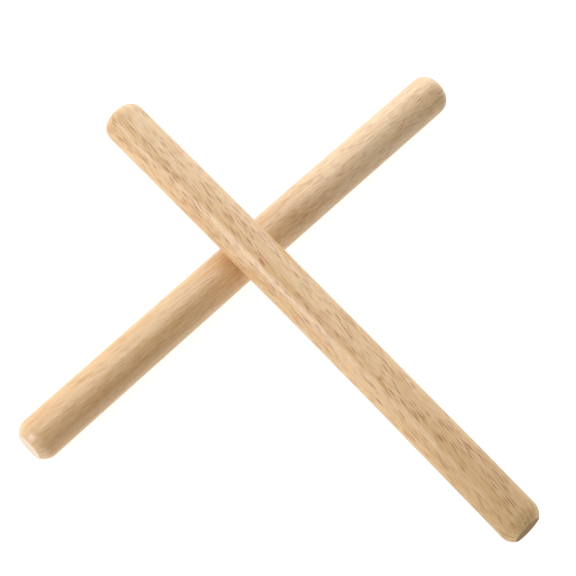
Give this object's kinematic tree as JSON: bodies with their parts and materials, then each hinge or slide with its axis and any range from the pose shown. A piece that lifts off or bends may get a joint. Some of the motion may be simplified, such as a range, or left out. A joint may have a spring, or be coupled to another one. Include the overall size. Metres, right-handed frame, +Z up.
{
  "type": "claves",
  "caption": "Claves: plain round hardwood percussion sticks with rounded ends, the striking stick leaning across the held stick and swinging down onto it to sound a click.",
  "frame": {"origin": "on the ground, under the middle of the crossed pair's bounding box", "axes": "+Z up, ground at z = 0; the held clave lies at 46 degrees from +X towards +Y, and the striking clave at 133.5 degrees, leaning across it with its resting end towards +X and -Y"},
  "size_m": [0.2082, 0.2204, 0.0466],
  "materials": {
    "held_wood": "pale straight-grained hardwood, satin clear lacquer",
    "striking_wood": "pale straight-grained hardwood with fine dark pores, satin clear lacquer"
  },
  "bodies": {
    "held_clave": {"held_clave": "held_wood"},
    "striking_clave": {"striking_clave": "striking_wood"}
  },
  "joints": [
    {"name": "strike_swing", "type": "hinge", "parent": "held_clave", "child": "striking_clave", "pos_m": [0.09534, -0.10157, 0.0055], "axis": [0.7254, 0.6884, 0], "range_deg": [0, 60]}
  ]
}
